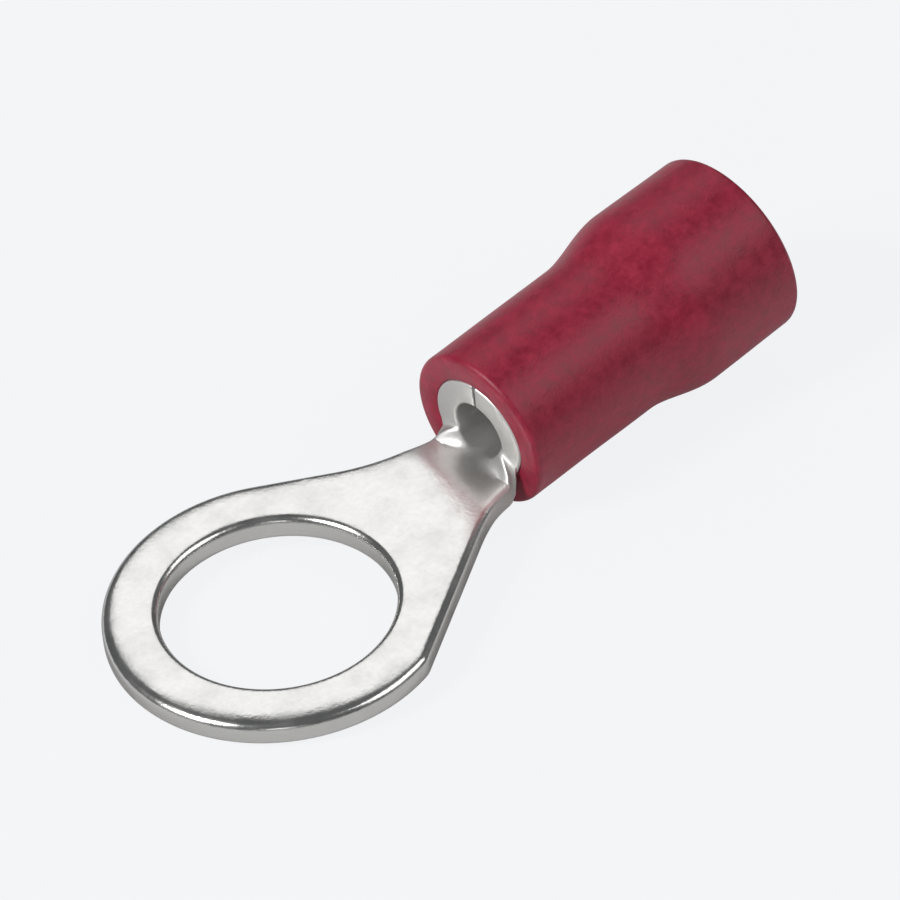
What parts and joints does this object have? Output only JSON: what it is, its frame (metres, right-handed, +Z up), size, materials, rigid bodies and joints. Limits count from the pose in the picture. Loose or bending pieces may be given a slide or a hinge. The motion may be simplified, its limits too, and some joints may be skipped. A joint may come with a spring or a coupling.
{
  "type": "insulated ring terminal",
  "caption": "Sheet-metal ring tongue with a rolled crimp barrel in a soft flared sleeve that guides the wire's insulation.",
  "frame": {"origin": "centre of the stud hole, on the underside of the tongue", "axes": "+X along the barrel from the stud hole to the wire entry, +Z up out of the tongue's top face, on the side of the barrel's seam"},
  "size_m": [0.0222, 0.0096, 0.0055],
  "materials": {
    "tinned_copper": "bright electro-tinned copper sheet",
    "red_pvc": "soft matte PVC"
  },
  "bodies": {
    "root": {"terminal_body": "tinned_copper", "insulating_sleeve": "red_pvc"}
  },
  "joints": []
}
